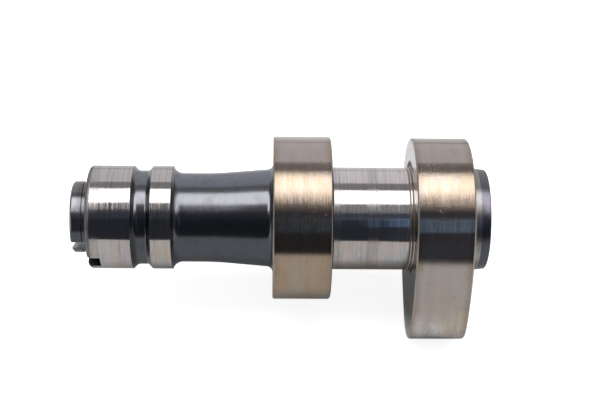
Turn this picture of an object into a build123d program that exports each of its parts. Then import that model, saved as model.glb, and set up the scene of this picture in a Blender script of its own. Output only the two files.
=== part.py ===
from build123d import *
import os
from math import cos, radians, sin, sqrt, tan

# Camshaft of a small single overhead cam engine: one piece of steel, turned, then ground on
# its journals and cams, with a slotted nose at the drive end.
# Millimetres and degrees. The X axis is the shaft's axis, and the drive end points to -X.
# x = 0 is the middle of the drive end journal, and the shaft lies on its cams with +Z up.
# Angles round the shaft are 0 towards -Y, 90 straight up and -90 straight down.

# Nose at the drive end, relieved between its pilot and the shoulder
nose_length = 3.55
pilot_length = 2.35
pilot_radius = 7.6
pilot_chamfer = 0.4
nose_relief = 0.15
nose_slot_width = 1.6
nose_slot_offset = 5.0
nose_slot_angle = -55.8

# Journal at the drive end, and the notch in its edge that times the shaft
journal_radius = 11.0
drive_journal_length = 9.35
shoulder_fillet = 0.95
notch_length = 2.8
notch_width = 3.5
notch_depth = 2.2
notch_angle = -15.2

# Snap ring groove, and the land beyond it
groove_radius = 10.0
groove_floor_length = 2.2
groove_wall_length = 0.95
groove_entry_fillet = 1.3
groove_exit_fillet = 0.5
land_length = 4.25
land_fall_length = 2.1

# Neck, flared towards the first cam
neck_radius = 9.5
neck_length = 4.8
flare_sweep_radius = 55.0
flare_angle = 4.75
flare_length = 14.3
flare_fillet = 1.3

# Cams: a base circle, two flank arcs and a nose arc, each tangent to the next
cam_base_radius = 17.3
cam_lift = 8.8
cam_nose_radius = 9.7
cam_flank_radius = 48.0
cam_edge_break = 0.3
first_cam_width = 12.2
first_cam_angle = -158.3
second_cam_width = 11.9
second_cam_angle = -51.8

# Journal between the cams. Two turned grooves with a ridge between them and a collar in a
# recess give the grinding wheel room beside the second cam.
centre_journal_radius = 10.95
centre_journal_length = 16.2
first_cam_chamfer = 0.5
relief_groove_width = 0.3
relief_groove_depth = 0.15
relief_ridge_width = 0.3
relief_ridge_radius = 11.1
collar_radius = 11.3
recess_radius = 12.5
recess_depth = 0.5

# Stub at the free end
stub_radius = 10.85
stub_length = 2.2
stub_taper_length = 1.95
stub_end_radius = 10.65
stub_edge_break = 0.2

# Centre holes, which held the shaft while it was ground
centre_mouth_radius = 2.6
centre_cone_angle = 60.0
centre_drill_radius = 1.0
centre_drill_length = 3.0

# Stations along the shaft
shoulder = -drive_journal_length / 2
nose_end = shoulder - nose_length
groove_start = drive_journal_length / 2
groove_floor_start = groove_start + groove_wall_length
groove_floor_end = groove_floor_start + groove_floor_length
land_start = groove_floor_end + groove_wall_length
land_end = land_start + land_length
neck_start = land_end + land_fall_length
sweep_start = neck_start + neck_length
sweep_end = sweep_start + flare_sweep_radius * sin(radians(flare_angle))
first_cam_start = sweep_start + flare_length
first_cam_end = first_cam_start + first_cam_width
relief_start = first_cam_end + centre_journal_length
ridge_start = relief_start + relief_groove_width
ridge_end = ridge_start + relief_ridge_width
second_cam_start = ridge_end + relief_groove_width
collar_end = second_cam_start + recess_depth
second_cam_end = second_cam_start + second_cam_width
taper_start = second_cam_end + stub_length
shaft_end = taper_start + stub_taper_length

# Radii of the flare where it leaves its sweep and where it meets the first cam, and of the
# turned core inside the cams
sweep_end_radius = neck_radius + flare_sweep_radius * (1 - cos(radians(flare_angle)))
flare_end_radius = sweep_end_radius + (first_cam_start - sweep_end) * tan(radians(flare_angle))
core_radius = flare_end_radius + flare_fillet


def across(angle):
    """Direction square to the shaft, at an angle round it."""
    return Vector(0, -cos(radians(angle)), sin(radians(angle)))


def cross_plane(x, angle):
    """Plane square to the shaft at x, with its local X at an angle round the shaft."""
    return Plane(origin=(x, 0, 0), x_dir=across(angle), z_dir=(1, 0, 0))


def drive_end_outline():
    """Nose, drive journal and groove, as far as the end of the land."""
    relief_radius = pilot_radius - nose_relief
    pilot_end = nose_end + pilot_length
    nose = Polyline(
        (nose_end, pilot_radius - pilot_chamfer),
        (nose_end + pilot_chamfer, pilot_radius),
        (pilot_end, pilot_radius),
        (pilot_end + nose_relief, relief_radius),
        (shoulder - nose_relief, relief_radius),
        (shoulder, pilot_radius),
        (shoulder, journal_radius - shoulder_fillet),
    )
    corner = RadiusArc(nose @ 1, (shoulder + shoulder_fillet, journal_radius), shoulder_fillet)
    groove = FilletPolyline(
        corner @ 1,
        (groove_start, journal_radius),
        (groove_floor_start, groove_radius),
        (groove_floor_end, groove_radius),
        (land_start, journal_radius),
        (land_end, journal_radius),
        radius=[0, groove_entry_fillet, groove_exit_fillet, 0],
    )
    return [nose, corner, groove]


def neck_outline():
    """Fall from the land, the plain neck and its flare, blended into the first cam's face."""
    fall = TangentArc((neck_start, neck_radius), (land_end, journal_radius), tangent=(-1, 0))
    neck = Line((neck_start, neck_radius), (sweep_start, neck_radius))
    sweep = TangentArc(neck @ 1, (sweep_end, sweep_end_radius), tangent=(1, 0))
    flare = FilletPolyline(
        sweep @ 1,
        (first_cam_start, flare_end_radius),
        (first_cam_start, core_radius),
        radius=flare_fillet,
    )
    return [fall, neck, sweep, flare]


def groove_bottom(start, radius):
    """Lowest point of a turned relief groove that starts at x in a surface of a given radius."""
    return (start + relief_groove_width / 2, radius - relief_groove_depth)


def centre_journal_outline():
    """Centre journal, from inside the first cam to the collar inside the second."""
    return Polyline(
        (first_cam_start, core_radius),
        (first_cam_end, core_radius),
        (first_cam_end, centre_journal_radius + first_cam_chamfer),
        (first_cam_end + first_cam_chamfer, centre_journal_radius),
        (relief_start, centre_journal_radius),
        groove_bottom(relief_start, centre_journal_radius),
        (ridge_start, relief_ridge_radius),
        (ridge_end, relief_ridge_radius),
        groove_bottom(ridge_end, relief_ridge_radius),
        (second_cam_start, collar_radius),
        (collar_end, collar_radius),
        (collar_end, core_radius),
    )


def free_end_outline():
    """Stub, from inside the second cam to the free end."""
    return Polyline(
        (collar_end, core_radius),
        (second_cam_end, core_radius),
        (second_cam_end, stub_radius),
        (taper_start, stub_radius),
        (shaft_end - stub_edge_break, stub_end_radius),
        (shaft_end, stub_end_radius - stub_edge_break),
    )


def turned_shaft():
    """Shaft without its cams, turned from one half section."""
    outline = drive_end_outline() + neck_outline() + [centre_journal_outline(), free_end_outline()]
    axis_line = Polyline(outline[-1] @ 1, (shaft_end, 0), (nose_end, 0), outline[0] @ 0)
    section = make_face(Curve() + outline + [axis_line])
    return revolve(Plane.XZ * section, axis=Axis.X)


def cam_face():
    """Cam outline, with its nose along local X."""
    nose_centre = cam_base_radius + cam_lift - cam_nose_radius
    to_base = cam_flank_radius - cam_base_radius
    to_nose = cam_flank_radius - cam_nose_radius
    flank_x = (to_base**2 - to_nose**2 + nose_centre**2) / (2 * nose_centre)
    flank_centre = Vector(flank_x, -sqrt(to_base**2 - flank_x**2))
    base_point = flank_centre * (-cam_base_radius / to_base)
    nose_middle = Vector(nose_centre, 0)
    nose_point = nose_middle + (nose_middle - flank_centre).normalized() * cam_nose_radius
    flank = RadiusArc(base_point, nose_point, cam_flank_radius)
    nose = ThreePointArc(nose_point, (cam_base_radius + cam_lift, 0), (nose_point.X, -nose_point.Y))
    base = ThreePointArc((base_point.X, -base_point.Y), (-cam_base_radius, 0), base_point)
    return make_face(Curve() + [flank, nose, mirror(flank, about=Plane.XZ), base])


def cam(start, width, angle):
    """Cam with broken edges, its nose at an angle round the shaft."""
    blank = extrude(cross_plane(start, angle) * cam_face(), width)
    return chamfer(blank.edges().filter_by(GeomType.CIRCLE), cam_edge_break)


def collar_recess():
    """Ring turned out of the second cam's face round the collar, with a sloping outer wall."""
    ring = Polyline(
        (second_cam_start, collar_radius),
        (collar_end, collar_radius),
        (collar_end, recess_radius - recess_depth),
        (second_cam_start, recess_radius),
        close=True,
    )
    return revolve(Plane.XZ * make_face(ring), axis=Axis.X)


def nose_slot():
    """Slot milled across the nose down to the shoulder, to one side of the axis."""
    box = Box(2 * pilot_radius, nose_slot_width, nose_length, align=(Align.CENTER, Align.CENTER, Align.MIN))
    plane = cross_plane(nose_end, nose_slot_angle + 90)
    return plane * Pos(0, nose_slot_offset, 0) * box


def timing_notch():
    """Notch milled into the edge of the drive journal."""
    reach = 2 * notch_depth
    box = Box(reach, notch_width, notch_length, align=(Align.MIN, Align.CENTER, Align.MIN))
    return cross_plane(shoulder, notch_angle) * Pos(journal_radius - notch_depth, 0, 0) * box


def centre_hole():
    """Centre hole along local Z, with its mouth in the local XY plane."""
    cone_depth = (centre_mouth_radius - centre_drill_radius) / tan(radians(centre_cone_angle / 2))
    align = (Align.CENTER, Align.CENTER, Align.MIN)
    cone = Cone(centre_mouth_radius, centre_drill_radius, cone_depth, align=align)
    return cone + Cylinder(centre_drill_radius, cone_depth + centre_drill_length, align=align)


def camshaft():
    """Whole camshaft, with its cams on the shaft and its ends machined."""
    body = turned_shaft()
    body += cam(first_cam_start, first_cam_width, first_cam_angle)
    body += cam(second_cam_start, second_cam_width, second_cam_angle)
    body -= collar_recess()
    body -= nose_slot() + timing_notch()
    body -= Plane(origin=(nose_end, 0, 0), z_dir=(1, 0, 0)) * centre_hole()
    body -= Plane(origin=(shaft_end, 0, 0), z_dir=(-1, 0, 0)) * centre_hole()
    return body


os.makedirs("parts", exist_ok=True)
export_step(camshaft(), "parts/camshaft.step")
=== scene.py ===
"""Looks of a camshaft: one piece of steel, bright where it is ground and dark where it isn't.

Sizes in the classes are millimetres, as in the CAD source. Blender's own numbers are metres.
Angles round the shaft are degrees: 0 to the front, 90 straight up and -90 straight down.
A Span is two values in the order in which a step runs between them, so the first may be higher.
"""

import logging
import math
from dataclasses import dataclass, field
from enum import Enum
from typing import Union

import bpy
from mathutils import Matrix, Vector


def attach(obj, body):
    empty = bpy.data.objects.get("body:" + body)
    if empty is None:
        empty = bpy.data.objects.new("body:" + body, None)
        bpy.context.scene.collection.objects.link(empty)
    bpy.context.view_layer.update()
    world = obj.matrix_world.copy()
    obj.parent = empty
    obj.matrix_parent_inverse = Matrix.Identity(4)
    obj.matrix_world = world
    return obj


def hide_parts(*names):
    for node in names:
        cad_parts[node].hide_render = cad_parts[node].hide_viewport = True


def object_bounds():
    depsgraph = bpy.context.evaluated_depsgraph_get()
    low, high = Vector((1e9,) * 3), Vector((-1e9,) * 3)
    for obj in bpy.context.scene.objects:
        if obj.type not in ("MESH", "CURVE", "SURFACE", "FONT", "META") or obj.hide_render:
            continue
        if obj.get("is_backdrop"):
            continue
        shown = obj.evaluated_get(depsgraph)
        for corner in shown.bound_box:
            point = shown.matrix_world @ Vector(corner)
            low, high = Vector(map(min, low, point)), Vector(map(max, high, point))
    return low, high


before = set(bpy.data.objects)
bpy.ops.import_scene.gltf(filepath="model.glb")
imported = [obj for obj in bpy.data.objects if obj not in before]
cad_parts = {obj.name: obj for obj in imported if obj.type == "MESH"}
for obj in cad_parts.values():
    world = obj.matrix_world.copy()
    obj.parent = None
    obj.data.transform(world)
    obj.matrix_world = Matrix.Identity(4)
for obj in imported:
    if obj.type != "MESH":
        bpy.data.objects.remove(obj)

LOG = logging.getLogger("camshaft")
MM = 0.001  # a millimetre in metres
FAR = 1000.0  # past both ends of the shaft
ALL_ROUND = 180.0  # degrees to each side
WIDEST = 179.0  # the most that an edge may reach to each side, in degrees
NOISE_MIDDLE = 0.5
DRIFT_SHIFT = 30.0  # from one stain's pattern to the next one's
WHITE = (1.0, 1.0, 1.0, 1.0)
Colour = tuple[float, float, float]
Glow = tuple[Colour, Colour]
Span = tuple[float, float]


class Term:
    """A number or colour that a shader works out at each point; sums on it add nodes."""

    def __init__(self, bench: "Bench", socket: bpy.types.NodeSocket) -> None:
        """Wraps one output socket of a node tree."""
        self.bench = bench
        self.socket = socket

    def _math(self, operation: str, first: "Number", second: "Number") -> "Term":
        """One Math node on two values."""
        return self.bench.term("ShaderNodeMath", {"operation": operation}, {0: first, 1: second})

    def __add__(self, other: "Number") -> "Term":
        """Sum."""
        return self._math("ADD", self, other)

    def __radd__(self, other: "Number") -> "Term":
        """Sum, with the number in front."""
        return self._math("ADD", other, self)

    def __sub__(self, other: "Number") -> "Term":
        """Difference."""
        return self._math("SUBTRACT", self, other)

    def __rsub__(self, other: "Number") -> "Term":
        """Difference, with the number in front."""
        return self._math("SUBTRACT", other, self)

    def __mul__(self, other: "Number") -> "Term":
        """Product."""
        return self._math("MULTIPLY", self, other)

    def __rmul__(self, other: "Number") -> "Term":
        """Product, with the number in front."""
        return self._math("MULTIPLY", other, self)

    def __truediv__(self, other: "Number") -> "Term":
        """Quotient."""
        return self._math("DIVIDE", self, other)

    def __rtruediv__(self, other: "Number") -> "Term":
        """Quotient, with the number in front."""
        return self._math("DIVIDE", other, self)

    def __pow__(self, other: "Number") -> "Term":
        """Power."""
        return self._math("POWER", self, other)

    def __rpow__(self, other: "Number") -> "Term":
        """Power, with the number in front."""
        return self._math("POWER", other, self)

    def __abs__(self) -> "Term":
        """Absolute value."""
        return self.bench.term("ShaderNodeMath", {"operation": "ABSOLUTE"}, {0: self})


Number = Union[Term, float, int]
Tone = Union[Term, Colour]


class Bench:
    """The node tree of one finish, and the few ways in which nodes are added to it."""

    def __init__(self, tree: bpy.types.NodeTree) -> None:
        """Starts from an empty tree."""
        self.tree = tree
        tree.nodes.clear()

    def node(self, kind: str, settings: dict, inputs: dict) -> bpy.types.Node:
        """Adds a node.

        Args:
            kind: the node's type.
            settings: its properties, set before its inputs.
            inputs: values or terms of its sockets, by name or number.

        Returns:
            The node.
        """
        node = self.tree.nodes.new(kind)
        for name, value in settings.items():
            setattr(node, name, value)
        for name, value in inputs.items():
            if isinstance(value, Term):
                self.tree.links.new(value.socket, node.inputs[name])
            else:
                node.inputs[name].default_value = value
        return node

    def term(self, kind: str, settings: dict, inputs: dict, output: Union[int, str] = 0) -> Term:
        """Adds a node and wraps one of its outputs, given by name or number."""
        return Term(self, self.node(kind, settings, inputs).outputs[output])

    def step(self, value: Number, low: float, high: float) -> Term:
        """Smooth step from 0 at low to 1 at high, which may lie below low."""
        inputs = {"Value": value, "From Min": low, "From Max": high, "To Min": 0.0, "To Max": 1.0}
        return self.term("ShaderNodeMapRange", {"interpolation_type": "SMOOTHSTEP"}, inputs)

    def band(self, value: Number, span: Span, soft: float) -> Term:
        """Marks a stretch.

        Args:
            value: what is compared.
            span: where the stretch starts and ends.
            soft: how far its edges reach to each side.

        Returns:
            1 within the stretch and 0 outside.
        """
        start, end = span
        rise = self.step(value, start - soft, start + soft)
        return rise * self.step(value, end + soft, end - soft)

    def blend(self, share: Number, first: Tone, second: Tone) -> Term:
        """Mixes two colours.

        Args:
            share: 0 for the first, 1 for the second.
            first: a colour.
            second: a colour.

        Returns:
            The mixed colour.
        """
        ends = [c if isinstance(c, Term) else (*c, 1.0) for c in (first, second)]
        inputs = {0: share, 6: ends[0], 7: ends[1]}
        return self.term("ShaderNodeMix", {"data_type": "RGBA", "clamp_factor": True}, inputs, 2)

    def darker(self, shade: Tone, mask: Number, level: float) -> Term:
        """Darkens a colour.

        Args:
            shade: the colour.
            mask: 1 where it is darkened and 0 where it isn't.
            level: what is left of it there.

        Returns:
            The darkened colour.
        """
        share = 1.0 - mask * (1.0 - level)
        inputs = {0: shade, 1: self.vector(share, share, share)}
        return self.term("ShaderNodeVectorMath", {"operation": "MULTIPLY"}, inputs)

    def noise(self, where: Term, detail: float, rough: float) -> Term:
        """Noise from 0 to 1.

        Args:
            where: a vector, with one feature per unit of it.
            detail: octaves.
            rough: strength of the finer octaves.

        Returns:
            The noise, about 0.5 on average.
        """
        inputs = {"Vector": where, "Scale": 1.0, "Detail": detail, "Roughness": rough}
        return self.term("ShaderNodeTexNoise", {}, inputs)

    def vector(self, x: Number, y: Number, z: Number) -> Term:
        """A vector of three numbers."""
        return self.term("ShaderNodeCombineXYZ", {}, {"X": x, "Y": y, "Z": z})

    def bump(self, height: Term, depth: float) -> Term:
        """Turns a height into a normal; depth is what a height of 1 is, in millimetres."""
        return self.term("ShaderNodeBump", {}, {"Height": height, "Distance": depth * MM})


class Spot:
    """Where a shaded point lies, in millimetres: its place, and its distance from the axis."""

    def __init__(self, bench: Bench) -> None:
        """Reads the Object coordinates.

        Args:
            bench: the finish's nodes.
        """
        place = bench.term("ShaderNodeTexCoord", {}, {}, "Object")
        split = bench.node("ShaderNodeSeparateXYZ", {}, {"Vector": place})
        self.bench = bench
        self.x = Term(bench, split.outputs["X"]) / MM
        self.y = Term(bench, split.outputs["Y"]) / MM
        self.z = Term(bench, split.outputs["Z"]) / MM
        self.radius = (self.y * self.y + self.z * self.z) ** 0.5

    def grid(self, along: float, across: float, shift: float) -> Term:
        """A vector for patterns, with so many features per millimetre along and square to x."""
        return self.bench.vector(self.x * along + shift, self.y * across, self.z * across)

    def facing(self, angle: float) -> Term:
        """Cosine of the angle between the point's own direction from the axis and a given one."""
        turn = math.radians(angle)
        return (self.z * math.sin(turn) - self.y * math.cos(turn)) / self.radius


@dataclass(frozen=True)
class Pattern:
    """Noise over the surface, drawn out round the shaft where across is small."""

    along: float
    across: float
    shift: float = 0.0
    detail: float = 2.0
    rough: float = 0.6

    def on(self, spot: Spot, more: float = 0.0) -> Term:
        """The noise at a place; more moves it further, so that two of them differ."""
        where = spot.grid(self.along, self.across, self.shift + more)
        return spot.bench.noise(where, self.detail, self.rough)


@dataclass(frozen=True)
class Lobe:
    """One side of the shaft: up to inner degrees from its middle, and gone at outer degrees."""

    middle: float
    inner: float
    outer: float

    def on(self, spot: Spot, stray: Number = 0.0) -> Term:
        """1 on that side and 0 elsewhere; stray is added to the cosine for a ragged edge."""
        low, high = (math.cos(math.radians(angle)) for angle in (self.outer, self.inner))
        return spot.bench.step(spot.facing(self.middle) + stray, low, high)


@dataclass(frozen=True)
class Mark:
    """Darkening where a pattern runs from one value to another; level is what is left."""

    start: float
    full: float
    level: float

    def over(self, pattern: Term, shade: Tone) -> Term:
        """Darkens a colour by a pattern."""
        bench = pattern.bench
        return bench.darker(shade, bench.step(pattern, self.start, self.full), self.level)


@dataclass(frozen=True)
class Tinge:
    """A colour that shows where a pattern runs from one value to another."""

    colour: Colour
    start: float
    full: float
    share: float

    def over(self, pattern: Term, shade: Tone) -> Term:
        """Lays the colour over another by a pattern."""
        mask = pattern.bench.step(pattern, self.start, self.full) * self.share
        return pattern.bench.blend(mask, shade, self.colour)


@dataclass(frozen=True)
class Pits:
    """Round pits, scattered over the surface.

    There are per_mm cells in a millimetre, and share is how many of them hold a pit. Its size
    and the bottom of its rim are shares of a cell and of the size. Level is what is left of the
    colour inside, and depth is how far it goes down, in units of the finish's bump.
    """

    per_mm: float
    size: float
    share: float
    shift: float
    level: float
    depth: float
    bottom: float = 0.4
    sorting: float = 0.01

    def on(self, spot: Spot) -> Term:
        """Marks the pits.

        Args:
            spot: the place.

        Returns:
            1 inside a pit and 0 elsewhere, with soft rims.
        """
        bench = spot.bench
        inputs = {"Vector": spot.grid(self.per_mm, self.per_mm, self.shift), "Scale": 1.0}
        cells = bench.node("ShaderNodeTexVoronoi", {}, inputs)
        away, colour = (Term(bench, cells.outputs[name]) for name in ("Distance", "Color"))
        chance = bench.term("ShaderNodeSeparateColor", {}, {"Color": colour}, "Red")
        hole = bench.step(away, self.size, self.size * self.bottom)
        return hole * bench.step(chance, 1.0 - self.share, 1.0 - self.share + self.sorting)


@dataclass(frozen=True)
class Hairlines:
    """Thin dark lines round the shaft at uneven distances, where a noise is near its middle."""

    per_mm: float
    width: float
    shift: float
    level: float
    across: float = 0.025
    detail: float = 1.0
    rough: float = 0.5

    def over(self, spot: Spot, shade: Tone) -> Term:
        """Draws the lines on a colour."""
        wave = Pattern(self.per_mm, self.across, self.shift, self.detail, self.rough).on(spot)
        return Mark(self.width, 0.0, self.level).over(abs(wave - NOISE_MIDDLE), shade)


@dataclass(frozen=True)
class TintAndPaintedLight:
    """A colour laid over part of the metal: on some parts a tint of its own, on others painted
    light and shade, such as a lighter top, a darker underside, a darker groove or recess, or a
    painted highlight.

    It spans half degrees to each side of an angle round the shaft, with an edge that is soft
    and uneven, and the stretch from start to end, with edges blurred by so much. It goes out
    from the axis as far as reach, past which it fades over the rim.
    """

    colour: Colour
    angle: float = 0.0
    half: float = ALL_ROUND
    soft: float = 14.0
    start: float = -FAR
    end: float = FAR
    blur: float = 0.4
    strength: float = 1.0
    uneven: float = 0.16
    reach: float = FAR
    rim: float = 2.5
    cloud: Pattern = Pattern(0.35, 0.2, 11.0, 3.0, 0.55)

    def over(self, spot: Spot, base: Tone) -> Term:
        """Lays the tint, or the painted light and shade, over a colour.

        Args:
            spot: the place.
            base: the colour below.

        Returns:
            The tinted colour.
        """
        bench = spot.bench
        mask: Number = self.strength
        if self.half < ALL_ROUND:
            inner = max(self.half - self.soft, 0.0)
            outer = min(self.half + self.soft, WIDEST)
            stray = (self.cloud.on(spot) - NOISE_MIDDLE) * self.uneven
            mask = Lobe(self.angle, inner, outer).on(spot, stray) * mask
        if self.start > -FAR or self.end < FAR:
            mask = bench.band(spot.x, (self.start, self.end), self.blur) * mask
        if self.reach < FAR:
            mask = bench.step(spot.radius, self.reach + self.rim, self.reach - self.rim) * mask
        return bench.blend(mask, base, self.colour)


class Slot(Enum):
    """Finish slots of the shaft's own piece, in the order of its material slots."""

    GROUND = 0
    CAM = 1
    CAM_SIDE = 2
    DARK = 3
    DULL = 4
    CUT = 5
    NOTCH = 6
    EDGE = 7
    END = 8


@dataclass(frozen=True)
class Steel:
    """What the finishes share: bare metal of one colour and gloss, with tints and painted light
    and shade over it.
    """

    name: str
    colour: Colour
    roughness: float
    tints_and_painted_light: tuple[TintAndPaintedLight, ...] = ()

    def material(self) -> bpy.types.Material:
        """Makes the finish.

        Returns:
            The material.
        """
        made = bpy.data.materials.new(self.name)
        made.use_nodes = True
        bench = Bench(made.node_tree)
        inputs = {"Metallic": 1.0, **self.surface(Spot(bench))}
        shader = bench.term("ShaderNodeBsdfPrincipled", {}, inputs)
        bench.node("ShaderNodeOutputMaterial", {}, {"Surface": shader})
        return made

    def surface(self, spot: Spot) -> dict:
        """What the shader's sockets get; each finish has its own."""
        raise NotImplementedError(self.name)

    def tinted_and_painted(self, spot: Spot) -> Tone:
        """The metal's colour under all its tints and its painted light and shade.

        Args:
            spot: the place.

        Returns:
            The colour.
        """
        shade: Tone = self.colour
        for tone_layer in self.tints_and_painted_light:
            shade = tone_layer.over(spot, shade)
        return shade


@dataclass(frozen=True)
class GroundSteel(Steel):
    """Bearing surface: ground round the shaft, with fine lines and faint stains."""

    coarse_bands: tuple[Span, ...] = ()
    stains: tuple[Colour, ...] = ()
    coarse_soft: float = 0.12
    coarse_level: float = 0.88
    coarse_depth: float = 1.8
    coarse_rough: float = 0.07
    centre: Span = (46.4, 64.5)
    centre_soft: float = 0.5
    centre_calm: float = 0.35
    stub: Span = (75.3, 75.5)
    stub_rough: float = 0.16
    fine: Pattern = Pattern(38.0, 0.05, 7.0)
    fine_depth: float = 2.3
    comb: Pattern = Pattern(4.4, 0.03, 17.0)
    comb_span: Span = (0.38, 0.62)
    comb_depth: float = 2.6
    lines: Pattern = Pattern(7.0, 0.03)
    line_mark: Mark = Mark(0.5, 0.25, 0.88)
    line_depth: float = 0.6
    line_rough: float = 0.05
    hairlines: tuple[Hairlines, ...] = (
        Hairlines(1.7, 0.05, 3.0, 0.83),
        Hairlines(4.3, 0.08, 23.0, 0.88),
    )
    streaks: Pattern = Pattern(1.3, 0.05, 40.0)
    streak_tinges: tuple[Tinge, ...] = (
        Tinge((0.42, 0.365, 0.32), 0.52, 0.72, 0.5),
        Tinge((0.40, 0.385, 0.39), 0.46, 0.28, 0.4),
    )
    cloud: Pattern = Pattern(0.45, 0.3, 90.0, 3.0)
    cloud_tinge: Tinge = Tinge((0.34, 0.335, 0.36), 0.56, 0.72, 0.35)
    drift: Pattern = Pattern(0.34, 0.24, 130.0, 3.0)
    drift_span: Span = (0.44, 0.6)
    drift_share: float = 0.8
    low: Lobe = Lobe(-35.0, 31.8, 60.0)
    pits: Pits = Pits(1.2, 0.2, 0.16, 5.0, 0.45, 2.0)
    drawn: Lobe = Lobe(69.0, 12.0, 25.0)
    drawn_share: float = 0.75
    bump: float = 0.0028

    def surface(self, spot: Spot) -> dict:
        """Grind lines, dark hairlines, stains and a few pits, and bands that are ground coarser,
        over painted light by angle.

        Args:
            spot: the place.

        Returns:
            What the shader's sockets get.
        """
        bench = spot.bench
        coarse: Number = 0.0
        for span in self.coarse_bands:
            coarse = bench.band(spot.x, span, self.coarse_soft) + coarse
        lines = self.lines.on(spot)
        streaks = self.streaks.on(spot)
        shade = self.tinted_and_painted(spot)
        for tinge in self.streak_tinges:
            shade = tinge.over(streaks, shade)
        shade = self.cloud_tinge.over(self.cloud.on(spot), shade)
        low = self.low.on(spot)
        for number, tint in enumerate(self.stains):
            drift = bench.step(self.drift.on(spot, DRIFT_SHIFT * number), *self.drift_span)
            shade = bench.blend(drift * low * self.drift_share, shade, tint)
        shade = self.line_mark.over(lines, shade)
        for hairlines in self.hairlines:
            shade = hairlines.over(spot, shade)
        shade = bench.darker(shade, coarse, self.coarse_level)
        pits = self.pits.on(spot)
        shade = bench.darker(shade, pits, self.pits.level)
        comb = bench.step(self.comb.on(spot), *self.comb_span)
        centre = bench.band(spot.x, self.centre, self.centre_soft)
        drawn = self.drawn.on(spot) * self.drawn_share + (1.0 - self.drawn_share)
        tilt = (self.fine_depth + comb * self.comb_depth) * (1.0 - centre * self.centre_calm)
        tilt = tilt + coarse * self.coarse_depth
        height = self.fine.on(spot) * tilt * drawn + lines * drawn * self.line_depth
        height = height - pits * self.pits.depth
        rough = self.roughness + lines * self.line_rough + coarse * self.coarse_rough
        rough = rough + bench.step(spot.x, *self.stub) * self.stub_rough
        return {"Base Color": shade, "Roughness": rough, "Normal": bench.bump(height, self.bump)}


@dataclass(frozen=True)
class TemperedCam(Steel):
    """Cam surface: ground, then tinted straw by heat, with browned edges, pits and dents."""

    edges: tuple[float, ...] = ()
    tints: tuple[Colour, ...] = ()
    dented: tuple[tuple[Span, Lobe], ...] = ()
    drift: Pattern = Pattern(0.5, 0.09, 100.0, 3.0)
    drift_span: Span = (0.48, 0.7)
    drift_share: float = 0.32
    low: Lobe = Lobe(-60.0, 31.8, 60.0)
    low_share: float = 0.3
    edge_tinge: Tinge = Tinge((0.26, 0.195, 0.145), 1.9, 0.0, 0.6)
    edge_uneven: float = 1.6
    streaks: Pattern = Pattern(0.9, 0.05, 20.0, 3.0)
    streak_mark: Mark = Mark(0.5, 0.25, 0.94)
    cloud: Pattern = Pattern(0.3, 0.3, 50.0, 4.0)
    cloud_mark: Mark = Mark(0.5, 0.3, 0.94)
    grain: Pattern = Pattern(3.2, 3.2, 70.0, 3.0)
    grain_mark: Mark = Mark(0.5, 0.3, 0.93)
    grain_depth: float = 0.3
    grain_rough: float = 0.03
    pits: Pits = Pits(0.9, 0.15, 0.10, 5.0, 0.4, 2.0)
    dents: Pits = Pits(2.2, 0.4, 0.3, 14.0, 0.8, 5.0)
    dented_soft: float = 0.6
    fine: Pattern = Pattern(60.0, 0.06)
    fine_depth: float = 1.1
    drawn: Lobe = Lobe(73.0, 13.0, 21.5)
    drawn_depth: float = 3.5
    first_cam: Span = (55.0, 50.0)
    first_cam_depth: float = 0.8
    bump: float = 0.0042

    def surface(self, spot: Spot) -> dict:
        """Heat tint with painted light by angle, fine lines round the cam, patches of dents and
        pits.

        Args:
            spot: the place.

        Returns:
            What the shader's sockets get.
        """
        bench = spot.bench
        cloud = self.cloud.on(spot)
        grain = self.grain.on(spot)
        shade = self.tinted_and_painted(spot)
        share = self.low.on(spot) * self.low_share + self.drift_share
        for number, tint in enumerate(self.tints):
            drift = bench.step(self.drift.on(spot, DRIFT_SHIFT * number), *self.drift_span)
            shade = bench.blend(drift * share, shade, tint)
        for edge in self.edges:
            ragged = abs(spot.x - edge) + (cloud - NOISE_MIDDLE) * self.edge_uneven
            shade = self.edge_tinge.over(ragged, shade)
        shade = self.streak_mark.over(self.streaks.on(spot), shade)
        shade = self.cloud_mark.over(cloud, shade)
        shade = self.grain_mark.over(grain, shade)
        pits = self.pits.on(spot)
        shade = bench.darker(shade, pits, self.pits.level)
        patch: Number = 0.0
        for span, lobe in self.dented:
            patch = bench.band(spot.x, span, self.dented_soft) * lobe.on(spot) + patch
        dents = self.dents.on(spot) * patch
        shade = bench.darker(shade, dents, self.dents.level)
        tilt = self.drawn.on(spot) * self.drawn_depth + self.fine_depth
        tilt = tilt + bench.step(spot.x, *self.first_cam) * self.first_cam_depth
        height = self.fine.on(spot) * tilt + grain * self.grain_depth
        height = height - pits * self.pits.depth - dents * self.dents.depth
        rough = self.roughness + grain * self.grain_rough
        return {"Base Color": shade, "Roughness": rough, "Normal": bench.bump(height, self.bump)}


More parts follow.
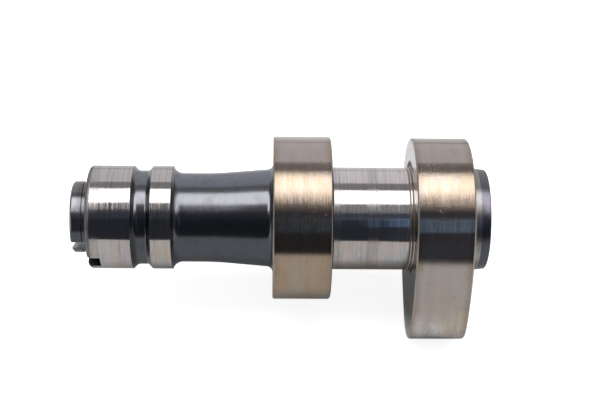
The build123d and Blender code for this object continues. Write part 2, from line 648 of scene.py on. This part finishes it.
@dataclass(frozen=True)
class FacedSteel(Steel):
    """Side of a cam or end of the shaft: faced on the lathe, satin, with fine rings and specks."""

    rings_per_mm: float = 2.6
    ring_shift: float = 3.0
    ring_detail: float = 3.0
    ring_rough: float = 0.6
    ring_mark: Mark = Mark(0.5, 0.3, 0.88)
    ring_depth: float = 0.8
    grain: Pattern = Pattern(3.0, 3.0, 0.0, 4.0, 0.7)
    grain_mark: Mark = Mark(0.45, 0.25, 0.75)
    grain_rough: float = 0.1
    mottle: Pattern = Pattern(0.35, 0.35, 8.0, 3.0)
    mottle_mark: Mark = Mark(0.45, 0.3, 0.85)
    bump: float = 0.008

    def surface(self, spot: Spot) -> dict:
        """Turning rings, grain, specks and mottle, over the painted shade on the cam sides' lower
        part.

        Args:
            spot: the place.

        Returns:
            What the shader's sockets get.
        """
        bench = spot.bench
        where = bench.vector(spot.radius * self.rings_per_mm, 0.0, self.ring_shift)
        rings = bench.noise(where, self.ring_detail, self.ring_rough)
        grain = self.grain.on(spot)
        shade = self.grain_mark.over(grain, self.tinted_and_painted(spot))
        shade = self.mottle_mark.over(self.mottle.on(spot), shade)
        shade = self.ring_mark.over(rings, shade)
        rough = self.roughness + grain * self.grain_rough
        height = grain + rings * self.ring_depth
        return {"Base Color": shade, "Roughness": rough, "Normal": bench.bump(height, self.bump)}


@dataclass(frozen=True)
class DarkSteel(Steel):
    """Turned surface left dark and satin by the heat treatment, smoother on the flare."""

    turned: Span = (32.0, 20.0)
    turned_depth: float = 4.2
    fine: Pattern = Pattern(30.0, 0.06, 7.0)
    fine_depth: float = 1.2
    lines: Pattern = Pattern(5.0, 0.04)
    line_mark: Mark = Mark(0.5, 0.25, 0.9)
    line_depth: float = 0.7
    cloud: Pattern = Pattern(0.3, 0.3, 10.0, 4.0)
    cloud_mark: Mark = Mark(0.5, 0.3, 0.86)
    cloud_rough: float = 0.06
    grain: Pattern = Pattern(4.0, 4.0, 60.0, 3.0)
    grain_depth: float = 0.5
    specks: Pits = Pits(1.0, 0.14, 0.08, 5.0, 0.55, 2.0)
    drawn: Lobe = Lobe(69.0, 12.0, 25.0)
    drawn_share: float = 0.7
    groove: Span = (4.7, 8.8)
    groove_soft: float = 0.3
    groove_calm: float = 0.65
    taper: Span = (77.5, 77.7)
    taper_rough: float = 0.1
    bump: float = 0.003

    def surface(self, spot: Spot) -> dict:
        """Blue-black oxide with faint turning lines and smudges, and painted light and shade laid
        over it.

        Args:
            spot: the place.

        Returns:
            What the shader's sockets get.
        """
        bench = spot.bench
        lines = self.lines.on(spot)
        cloud = self.cloud.on(spot)
        shade = self.cloud_mark.over(cloud, self.tinted_and_painted(spot))
        shade = self.line_mark.over(lines, shade)
        specks = self.specks.on(spot)
        shade = bench.darker(shade, specks, self.specks.level)
        turned = bench.step(spot.x, *self.turned) * self.turned_depth + self.fine_depth
        drawn = self.drawn.on(spot) * self.drawn_share + (1.0 - self.drawn_share)
        smooth = 1.0 - bench.band(spot.x, self.groove, self.groove_soft) * self.groove_calm
        height = self.fine.on(spot) * turned * drawn * smooth + lines * self.line_depth
        height = height + self.grain.on(spot) * self.grain_depth - specks * self.specks.depth
        rough = self.roughness + cloud * self.cloud_rough
        rough = rough + bench.step(spot.x, *self.taper) * self.taper_rough
        return {"Base Color": shade, "Roughness": rough, "Normal": bench.bump(height, self.bump)}


@dataclass(frozen=True)
class DullSteel(Steel):
    """Surface that no grinding reached, or that a cutter left rough: dark and grained."""

    bump: float = 0.02
    grain: Pattern = Pattern(3.5, 3.5, 0.0, 4.0, 0.7)
    grain_mark: Mark = Mark(0.5, 0.25, 0.8)
    grain_rough: float = 0.12
    mottle: Pattern = Pattern(0.6, 0.6, 8.0, 3.0)
    mottle_mark: Mark = Mark(0.55, 0.3, 0.75)

    def surface(self, spot: Spot) -> dict:
        """Grain and mottle, over painted shade where the finish has it.

        Args:
            spot: the place.

        Returns:
            What the shader's sockets get.
        """
        bench = spot.bench
        grain = self.grain.on(spot)
        shade = self.mottle_mark.over(self.mottle.on(spot), self.tinted_and_painted(spot))
        shade = self.grain_mark.over(grain, shade)
        rough = self.roughness + grain * self.grain_rough
        return {"Base Color": shade, "Roughness": rough, "Normal": bench.bump(grain, self.bump)}


# Painted light on the journals: the first four give a lighter top and a lighter underside, angle
# by angle, to the centre journal and to the drive journal and land, standing for how bright their
# reflections look. The last is the stub's own darker tone.
GROUND_TINTS_AND_PAINTED_LIGHT = (
    TintAndPaintedLight((0.62, 0.575, 0.60), 128.0, 42.0, 10.0, 46.0, 64.5),
    TintAndPaintedLight((0.50, 0.467, 0.476), 128.0, 42.0, 10.0, -5.0, 20.0),
    TintAndPaintedLight((0.53, 0.478, 0.443), -35.0, 50.0, 12.0, 46.0, 64.5),
    TintAndPaintedLight((0.52, 0.49, 0.465), -35.0, 50.0, 12.0, -5.0, 20.0),
    TintAndPaintedLight((0.29, 0.275, 0.265), start=75.0, end=80.0),
)
# Tones of the cams by angle: partly their heat tint, straw round the middle and purple-grey on
# top, partly painted light, set to how bright each part's reflection looks; the second cam's
# underside is painted much lighter. Last, two narrow patches on the second cam's lower side, grey
# and yellow.
CAM_TINTS_AND_PAINTED_LIGHT = (
    TintAndPaintedLight((0.40, 0.343, 0.328), 130.0, 46.0, 8.0),
    TintAndPaintedLight((0.372, 0.275, 0.193), -30.0, 52.0, 14.0, end=50.0),
    TintAndPaintedLight((0.355, 0.295, 0.25), -75.0, 34.0, 14.0, end=50.0),
    TintAndPaintedLight((0.415, 0.37, 0.335), -20.0, 54.0, 12.0, start=60.0),
    TintAndPaintedLight((0.63, 0.565, 0.525), -62.0, 28.0, 16.0, start=60.0),
    TintAndPaintedLight((0.55, 0.56, 0.555), -47.0, 9.0, 5.0, start=60.0, strength=0.8, uneven=0.3),
    TintAndPaintedLight((0.50, 0.42, 0.29), -34.0, 5.0, 5.0, start=71.0, blur=2.0, strength=0.6, uneven=0.3),
)
# Painted light and shade on the dark steel, and one tone of its own. Painted: a lighter bluish top
# and a darker underside; on the nose a lighter left part and a lighter band at 42 degrees, both
# painted highlight, and a darker strip next to the shoulder, painted shade; in the groove tones
# set angle by angle, its left wall darker low down. Its own: the taper's purplish tone from 77 mm
# on.
DARK_TINTS_AND_PAINTED_LIGHT = (
    TintAndPaintedLight((0.165, 0.178, 0.212), 130.0, 42.0, 12.0),
    TintAndPaintedLight((0.135, 0.128, 0.155), start=77.0, end=90.0),
    TintAndPaintedLight((0.19, 0.19, 0.20), start=-9.0, end=-6.7),
    TintAndPaintedLight((0.135, 0.135, 0.145), start=-6.7, end=-4.9),
    TintAndPaintedLight((0.40, 0.39, 0.41), 42.0, 16.0, 6.0, -9.0, -4.9, uneven=0.05),
    TintAndPaintedLight((0.091, 0.099, 0.111), -60.0, 83.0, 8.0),
    TintAndPaintedLight((0.18, 0.177, 0.195), 95.0, 48.0, 10.0, 4.3, 5.75, 0.3, 1.0, 0.05),
    TintAndPaintedLight((0.06, 0.061, 0.068), -40.0, 82.0, 12.0, 4.3, 5.75, 0.3, 1.0, 0.05),
    TintAndPaintedLight((0.155, 0.155, 0.167), 15.0, 140.0, 12.0, 7.75, 8.9, 0.3, 1.0, 0.05),
)
# Painted shade: the lower part of each cam side, within 22.3 mm of the axis, is made darker,
# standing for the shaded floor under the shaft that it reflects.
SIDE_PAINTED_SHADE = (TintAndPaintedLight((0.17, 0.164, 0.17), -48.0, 98.0, 14.0, reach=22.3),)
# Painted shade in the corner at the shoulder: darker there, and darker still on the underside.
DULL_PAINTED_SHADE = (
    TintAndPaintedLight((0.10, 0.097, 0.10), start=-5.0, end=-4.6, blur=0.05),
    TintAndPaintedLight((0.045, 0.044, 0.047), -30.0, 62.0, 14.0, -5.0, -4.6, 0.05),
)
# Painted shade in the recess in the second cam's side, within 14 mm of the axis: darker there, and
# darker still on the underside.
EDGE_PAINTED_SHADE = (
    TintAndPaintedLight((0.24, 0.21, 0.19), start=63.5, end=65.0, blur=0.1, reach=14.0),
    TintAndPaintedLight((0.12, 0.108, 0.105), -80.0, 52.0, 14.0, 63.5, 65.0, 0.1, reach=14.0),
)
COARSE_BANDS = ((-3.9, -1.9), (46.4, 48.28), (53.86, 56.26), (75.3, 77.7))
GROUND_STAINS = ((0.53, 0.46, 0.485), (0.50, 0.405, 0.32), (0.40, 0.43, 0.44))
CAM_EDGES = (34.225, 46.425, 63.525, 75.425)
CAM_TINTS = ((0.40, 0.33, 0.325), (0.31, 0.33, 0.35), (0.38, 0.33, 0.26))
DENTED = (
    ((43.5, 46.4), Lobe(84.0, 5.4, 9.0)),
    ((64.5, 69.5), Lobe(84.0, 5.4, 9.0)),
    ((64.5, 69.5), Lobe(52.0, 4.8, 8.0)),
    ((35.5, 45.5), Lobe(40.0, 7.8, 13.0)),
)
FINISHES = {
    Slot.GROUND: GroundSteel(
        "ground_steel", (0.48, 0.455, 0.445), 0.06, GROUND_TINTS_AND_PAINTED_LIGHT, COARSE_BANDS, GROUND_STAINS
    ),
    Slot.CAM: TemperedCam(
        "tempered_cam", (0.328, 0.256, 0.190), 0.07, CAM_TINTS_AND_PAINTED_LIGHT, CAM_EDGES, CAM_TINTS, DENTED
    ),
    Slot.CAM_SIDE: FacedSteel("cam_side", (0.81, 0.795, 0.79), 0.17, SIDE_PAINTED_SHADE),
    Slot.END: FacedSteel("shaft_end", (0.13, 0.128, 0.142), 0.26),
    Slot.DARK: DarkSteel("dark_steel", (0.16, 0.162, 0.175), 0.16, DARK_TINTS_AND_PAINTED_LIGHT),
    Slot.DULL: DullSteel("dull_steel", (0.22, 0.21, 0.212), 0.42, DULL_PAINTED_SHADE),
    Slot.CUT: DullSteel("cut_steel", (0.15, 0.15, 0.155), 0.34, (), 0.03),
    # Painted shade: the notch's cut steel is made near black, as if shaded in its recess.
    Slot.NOTCH: DullSteel("notch_painted_shade", (0.02, 0.02, 0.022), 0.4, (), 0.04),
    Slot.EDGE: DullSteel("edge_steel", (0.46, 0.395, 0.345), 0.36, EDGE_PAINTED_SHADE, 0.005),
}


@dataclass
class Shaft:
    """The shaft's own piece: the CAD model's mesh, merged, its sharp edges broken and dressed.

    Square, slanted and sideways are the least parts of a face's normal, along the shaft or
    round it, at which the face counts as square to the shaft, slanted or turned sideways.
    """

    shoulder: float = -4.675
    fillet_end: float = -3.725
    notch_end: float = -1.875
    notch_reach: float = 10.3
    notch_wall: float = -3.225
    drive_journal_end: float = 4.675
    land_start: float = 8.775
    land_end: float = 13.025
    first_cam: Span = (34.225, 46.425)
    relief_start: float = 62.6
    second_cam: Span = (63.525, 75.425)
    collar_end: float = 64.025
    cam_reach: float = 14.0
    taper_start: float = 77.625
    journal_reach: float = 10.7
    hole_reach: float = 2.7
    cut_margin: float = 0.02
    fillet_margin: float = 0.05
    cam_margin: float = 0.01
    square: float = 0.9
    slanted: float = 0.3
    sideways: float = 0.25
    least_radius: float = 0.001
    merge: float = 0.0001
    flat_angle: float = 0.2
    edge: float = 0.06
    edge_segments: int = 2
    smooth: float = 32.0
    normal_weight: int = 50
    finishes: dict[Slot, Steel] = field(default_factory=lambda: dict(FINISHES))

    def build(self) -> bpy.types.Object:
        """Makes the piece.

        Returns:
            The object, riding on the shaft's body.
        """
        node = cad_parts["camshaft"]
        piece = bpy.data.objects.new("camshaft_steel", node.data.copy())
        bpy.context.scene.collection.objects.link(piece)
        self._merge(piece)
        self._break_edges(piece)
        self._dress(piece)
        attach(piece, "root")
        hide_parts("camshaft")
        return piece

    def _merge(self, piece: bpy.types.Object) -> None:
        """Joins the loose triangles, and makes each flat face one.

        Args:
            piece: the shaft, which is selected alone from here on.
        """
        bpy.ops.object.select_all(action="DESELECT")
        bpy.context.view_layer.objects.active = piece
        piece.select_set(True)
        bpy.ops.mesh.customdata_custom_splitnormals_clear()
        bpy.ops.object.mode_set(mode="EDIT")
        bpy.ops.mesh.select_all(action="SELECT")
        bpy.ops.mesh.remove_doubles(threshold=self.merge * MM)
        flat = math.radians(self.flat_angle)
        bpy.ops.mesh.dissolve_limited(angle_limit=flat, use_dissolve_boundaries=False)
        bpy.ops.object.mode_set(mode="OBJECT")

    def _break_edges(self, piece: bpy.types.Object) -> None:
        """Gives the sharp edges a small rounding, as handling does.

        Args:
            piece: the shaft.
        """
        bevel = piece.modifiers.new("edges", "BEVEL")
        bevel.width = self.edge * MM
        bevel.segments = self.edge_segments
        bevel.limit_method = "ANGLE"
        bevel.angle_limit = math.radians(self.smooth)
        bevel.use_clamp_overlap = True
        bpy.ops.object.modifier_apply(modifier="edges")
        bpy.ops.object.shade_smooth_by_angle(angle=math.radians(self.smooth))
        normals = piece.modifiers.new("normals", "WEIGHTED_NORMAL")
        normals.mode = "FACE_AREA"
        normals.weight = self.normal_weight
        normals.keep_sharp = True
        bpy.ops.object.modifier_apply(modifier="normals")

    def _dress(self, piece: bpy.types.Object) -> None:
        """Gives each face the finish of its stretch of the shaft.

        Args:
            piece: the shaft.
        """
        piece.data.materials.clear()
        for slot in Slot:
            piece.data.materials.append(self.finishes[slot].material())
        for face in piece.data.polygons:
            corners = [piece.data.vertices[number].co / MM for number in face.vertices]
            outer = max(math.hypot(corner.y, corner.z) for corner in corners)
            face.material_index = self._slot(face.center / MM, face.normal, outer).value

    def _slot(self, centre: Vector, normal: Vector, outer: float) -> Slot:
        """Finish slot of a face.

        Args:
            centre: the face's middle, in millimetres.
            normal: its normal.
            outer: how far from the axis its farthest corner lies, in millimetres.

        Returns:
            The slot.
        """
        radius = math.hypot(centre.y, centre.z)
        lean = abs(normal.x)
        if self._milled(centre, normal, radius):
            return Slot.NOTCH if centre.x > self.shoulder + self.cut_margin else Slot.CUT
        if radius < self.hole_reach and lean < self.square:
            return Slot.CUT
        if self.shoulder - self.cut_margin < centre.x < self.fillet_end + self.fillet_margin:
            return Slot.DULL
        for start, end in (self.first_cam, self.second_cam):
            along = start - self.cam_margin < centre.x < end + self.cam_margin
            if along and outer > self.cam_reach:
                if lean > self.square:
                    return Slot.CAM_SIDE
                return Slot.EDGE if lean > self.slanted else Slot.CAM
        ground = (
            (self.fillet_end, self.drive_journal_end),
            (self.land_start, self.land_end),
            (self.first_cam[1], self.collar_end),
            (self.second_cam[1], self.taper_start),
        )
        for start, end in ground:
            if start < centre.x < end and radius > self.journal_reach and lean < self.slanted:
                return Slot.GROUND
        if self.relief_start < centre.x < self.collar_end + self.cam_margin:
            return Slot.EDGE
        return Slot.END if lean > self.square else Slot.DARK

    def _milled(self, centre: Vector, normal: Vector, radius: float) -> bool:
        """Whether a face belongs to the slot in the nose or to the notch.

        Args:
            centre: the face's middle, in millimetres.
            normal: its normal.
            radius: how far from the axis its middle lies, in millimetres.

        Returns:
            True if it does.
        """
        turned = abs(normal.z * centre.y - normal.y * centre.z) / max(radius, self.least_radius)
        aside = turned > self.sideways
        if centre.x < self.shoulder + self.cut_margin:
            return aside and radius < self.journal_reach
        if centre.x > self.notch_end + self.cut_margin:
            return False
        square = abs(normal.x) > self.square
        bottom = radius < self.notch_reach and abs(normal.x) < self.square
        return aside or bottom or (square and centre.x > self.notch_wall)


def even(colour: Colour) -> Glow:
    """A card's glow that is the same from end to end."""
    return (colour, colour)


@dataclass
class Studio:
    """A pale floor, a softbox overhead and cards round the shaft, for the metal to show.

    A card spans two angles, and its glow is its colours at the left and at the right.
    """

    floor_level: float
    middle: float = 31.8
    reach: float = 800.0
    near: float = 0.96
    floor_size: float = 6000.0
    box_angles: Span = (78.5, 110.5)
    strip_angles: Span = (63.5, 78.5)
    ledge_angles: Span = (57.5, 63.5)
    front_angles: Span = (42.0, 57.5)
    dark_angles: Span = (-14.0, 42.0)
    back_angles: Span = (110.5, 131.0)
    card_length: float = 2400.0
    strip_gap: float = 560.0
    fade: Span = (-70.0, 90.0)
    box_strength: float = 2.86
    strip: Glow = even((3.2, 3.2, 3.2))
    gap: Glow = ((0.2, 0.2, 0.215), (0.42, 0.415, 0.44))
    ledge: Glow = ((0.08, 0.085, 0.11), (0.36, 0.35, 0.375))
    front: Glow = ((0.06, 0.068, 0.09), (0.09, 0.105, 0.145))
    dark: Glow = ((0.034, 0.039, 0.050), (0.035, 0.041, 0.053))
    back: Glow = ((0.36, 0.355, 0.36), (0.33, 0.325, 0.335))
    window: Glow = even((0.30, 0.48, 0.78))
    window_angles: Span = (27.5, 46.0)
    window_start: float = 114.0
    window_length: float = 90.0
    haze: Glow = even((0.085, 0.09, 0.12))
    haze_angles: Span = (-3.0, 27.5)
    foot: Glow = even((0.05, 0.055, 0.065))
    foot_start: float = 265.0
    foot_right_start: float = 202.0
    foot_right_edge: float = 46.0
    foot_lift: float = 1.0
    ends: Glow = even((0.15, 0.15, 0.155))
    side_distance: float = 1300.0
    side_size: float = 3000.0
    world_light: float = 0.5
    world_seen: float = 0.86
    floor_albedo: float = 0.62
    floor_roughness: float = 0.9
    floor_lift: float = 0.8
    floor_glossy_lift: float = 0.03

    def build(self) -> None:
        """Makes the floor, the cards, the lamp and the world."""
        self._floor()
        full = self.card_length
        side = (full - self.strip_gap) / 2
        aside = (self.strip_gap + side) / 2
        pane = self.window_length
        pane_aside = self.window_start + pane / 2
        cards = (
            ("card_dark", self.dark_angles, self.dark, full, 0.0, 1.0),
            ("card_ledge", self.ledge_angles, self.ledge, full, 0.0, 1.0),
            ("card_front", self.front_angles, self.front, full, 0.0, 1.0),
            ("card_window", self.window_angles, self.window, pane, pane_aside, self.near),
            ("card_haze", self.haze_angles, self.haze, pane, pane_aside, self.near),
            ("card_gap", self.strip_angles, self.gap, self.strip_gap, 0.0, 1.0),
            ("strip_left", self.strip_angles, self.strip, side, -aside, 1.0),
            ("strip_right", self.strip_angles, self.strip, side, aside, 1.0),
            ("card_back", self.back_angles, self.back, full, 0.0, 1.0),
        )
        for card in cards:
            self._card(*card)
        upright = Matrix.Rotation(math.radians(90.0), 4, "Y")
        for name, way in (("card_left", -1), ("card_right", 1)):
            place = Vector((self.middle + way * self.side_distance, 0.0, 0.0))
            size = (self.side_size, self.side_size)
            self._plate(name, self.ends, Matrix.Translation(place * MM) @ upright, size)
        self._foot("card_foot", (self.foot_start, self.reach), -full / 2)
        right = (self.foot_right_start, self.foot_start)
        self._foot("card_foot_right", right, self.foot_right_edge)
        self._softbox()
        self._world()

    def _emission(self, name: str, glow: Glow) -> bpy.types.Material:
        """Glowing material of a card.

        Args:
            name: the material's name.
            glow: its colours at the left and at the right.

        Returns:
            The material.
        """
        made = bpy.data.materials.new(name)
        made.use_nodes = True
        bench = Bench(made.node_tree)
        across = bench.step(Spot(bench).x, *self.fade)
        inputs = {"Color": bench.blend(across, glow[0], glow[1]), "Strength": 1.0}
        shader = bench.term("ShaderNodeEmission", {}, inputs)
        bench.node("ShaderNodeOutputMaterial", {}, {"Surface": shader})
        return made

    def _frame(self, angles: Span, near: float = 1.0) -> tuple[Matrix, float]:
        """Where a card that spans two angles stands, square to the line from the shaft.

        Args:
            angles: degrees above the floor, from the front over the top to the back.
            near: its distance, as a share of the other cards'.

        Returns:
            Its matrix, facing the shaft, and its width in metres.
        """
        middle = math.radians(sum(angles) / 2)
        half = math.radians(abs(angles[1] - angles[0]) / 2)
        away = Vector((0.0, -math.cos(middle), math.sin(middle)))
        turn = (-away).to_track_quat("Z", "X").to_matrix().to_4x4()
        reach = self.reach * near * MM
        place = Vector((self.middle * MM, 0.0, 0.0)) + away * reach
        return Matrix.Translation(place) @ turn, 2 * reach * math.tan(half)

    def _sides(self, matrix: Matrix, length: float, width: float) -> Span:
        """Lengths along local X and Y of a card with a given length along the shaft."""
        along_x = abs(matrix[0][0]) > abs(matrix[0][1])
        return (length, width) if along_x else (width, length)

    def _card(
        self, name: str, angles: Span, glow: Glow, length: float, aside: float, near: float
    ) -> None:
        """A card that only the metal's reflections see.

        Args:
            name: the card's name.
            angles: the angles that it spans.
            glow: its colours at the left and at the right.
            length: its length along the shaft.
            aside: how far its middle lies along the shaft from the shaft's own.
            near: its distance, as a share of the other cards'.
        """
        matrix, width = self._frame(angles, near)
        matrix = Matrix.Translation((aside * MM, 0.0, 0.0)) @ matrix
        self._plate(name, glow, matrix, self._sides(matrix, length, width / MM))

    def _foot(self, name: str, span: Span, left: float) -> None:
        """A dark strip on the floor in front.

        Args:
            name: the strip's name.
            span: how far in front of the shaft it starts and ends.
            left: where it starts along the shaft, from the shaft's middle.
        """
        start, end = span
        length = self.card_length / 2 - left
        level = self.floor_level / MM + self.foot_lift
        place = Vector((self.middle + left + length / 2, -(start + end) / 2, level))
        self._plate(name, self.foot, Matrix.Translation(place * MM), (length, end - start))

    def _plate(self, name: str, glow: Glow, matrix: Matrix, size: Span) -> None:
        """A glowing rectangle that only the metal's reflections see.

        Args:
            name: the card's name.
            glow: its colours at the left and at the right.
            matrix: its place, with the rectangle in the local XY plane.
            size: its lengths along local X and Y.
        """
        bpy.ops.mesh.primitive_plane_add(size=MM)
        card = bpy.context.active_object
        card.name = name
        card.data.transform(matrix @ Matrix.Diagonal((*size, 1.0, 1.0)))
        card.data.materials.append(self._emission(name, glow))
        card.visible_camera = False
        card.visible_diffuse = False
        card.visible_shadow = False
        card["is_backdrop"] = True

    def _softbox(self) -> None:
        """The lamp overhead."""
        matrix, width = self._frame(self.box_angles)
        length = self.card_length * MM
        lamp = bpy.data.lights.new("softbox", "AREA")
        lamp.shape = "RECTANGLE"
        lamp.size, lamp.size_y = self._sides(matrix, length, width)
        lamp.energy = self.box_strength * math.pi * length * width
        holder = bpy.data.objects.new("softbox", lamp)
        holder.matrix_world = matrix @ Matrix.Rotation(math.pi, 4, "X")
        bpy.context.scene.collection.objects.link(holder)

    def _level(self, bench: Bench, straight: float, mirrored: float, unseen: float) -> Term:
        """Strength of a backdrop for each kind of ray.

        Args:
            bench: the backdrop's nodes.
            straight: what the camera sees straight.
            mirrored: what it sees in metal or through glass.
            unseen: what lights the scene.

        Returns:
            The strength.
        """
        path = bench.node("ShaderNodeLightPath", {}, {})
        kinds = ("Is Camera Ray", "Is Glossy Ray", "Is Transmission Ray")
        camera, glossy, through = (Term(bench, path.outputs[kind]) for kind in kinds)
        other = bench.term("ShaderNodeMath", {"operation": "MAXIMUM"}, {0: glossy, 1: through})
        return unseen + camera * (straight - unseen) + other * (mirrored - unseen)

    def _floor(self) -> None:
        """A pale floor that keeps a soft shadow and shows white."""
        bpy.ops.mesh.primitive_plane_add(size=self.floor_size * MM)
        floor = bpy.context.active_object
        floor.name = "floor"
        floor.data.transform(Matrix.Translation((self.middle * MM, 0.0, self.floor_level)))
        made = bpy.data.materials.new("floor")
        made.use_nodes = True
        bench = Bench(made.node_tree)
        inputs = {
            "Base Color": (self.floor_albedo, self.floor_albedo, self.floor_albedo, 1.0),
            "Roughness": self.floor_roughness,
            "Specular IOR Level": 0.0,
            "Emission Color": WHITE,
            "Emission Strength": self._level(bench, self.floor_lift, self.floor_glossy_lift, 0.0),
        }
        shader = bench.term("ShaderNodeBsdfPrincipled", {}, inputs)
        bench.node("ShaderNodeOutputMaterial", {}, {"Surface": shader})
        floor.data.materials.append(made)
        floor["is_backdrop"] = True

    def _world(self) -> None:
        """A pale surround, white where it is seen."""
        world = bpy.data.worlds.new("studio")
        world.use_nodes = True
        bpy.context.scene.world = world
        bench = Bench(world.node_tree)
        level = self._level(bench, 1.0, self.world_seen, self.world_light)
        sky = bench.term("ShaderNodeBackground", {}, {"Color": WHITE, "Strength": level})
        bench.node("ShaderNodeOutputWorld", {}, {"Surface": sky})


@dataclass
class PhotoCamera:
    """The camera, fitted to the curves of the journals' edges in the photograph."""

    elevation: float = 46.2
    distance: float = 279.0
    foot: float = 34.0
    aside: float = 6.03
    above: float = 3.86
    roll: float = 0.36
    lens: float = 78.0
    sensor: float = 36.0
    clip: Span = (10.0, 20000.0)

    def build(self) -> None:
        """Makes the scene's camera."""
        lift = math.radians(self.elevation)
        back = Vector((0.0, -math.cos(lift), math.sin(lift)))
        up = Vector((0.0, math.sin(lift), math.cos(lift)))
        eye = (Vector((self.foot, 0.0, 0.0)) + back * self.distance) * MM
        aim = (Vector((self.foot + self.aside, 0.0, 0.0)) + up * self.above) * MM
        data = bpy.data.cameras.new("camera")
        data.lens = self.lens
        data.sensor_width = self.sensor
        data.clip_start, data.clip_end = (limit * MM for limit in self.clip)
        camera = bpy.data.objects.new("camera", data)
        turn = self._facing((eye - aim).normalized(), up)
        roll = Matrix.Rotation(math.radians(self.roll), 4, "Z")
        camera.matrix_world = Matrix.Translation(eye) @ turn @ roll
        bpy.context.scene.collection.objects.link(camera)
        bpy.context.scene.camera = camera

    def _facing(self, back: Vector, up: Vector) -> Matrix:
        """Rotation of a camera whose own Z points back.

        Args:
            back: from what it looks at to the camera.
            up: a direction that is up in the picture.

        Returns:
            The rotation.
        """
        right = up.cross(back).normalized()
        true_up = back.cross(right)
        return Matrix((right, true_up, back)).transposed().to_4x4()


def main() -> None:
    """Builds the studio, the camera and the shaft, and writes how large it came out."""
    logging.basicConfig(level=logging.INFO, format="%(message)s")
    scene = bpy.context.scene
    scene.view_settings.view_transform = "Standard"
    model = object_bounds()
    Studio(floor_level=model[0].z).build()
    PhotoCamera().build()
    piece = Shaft().build()
    LOG.info("%s: %d faces", piece.name, len(piece.data.polygons))


if __name__ == "__main__":
    main()
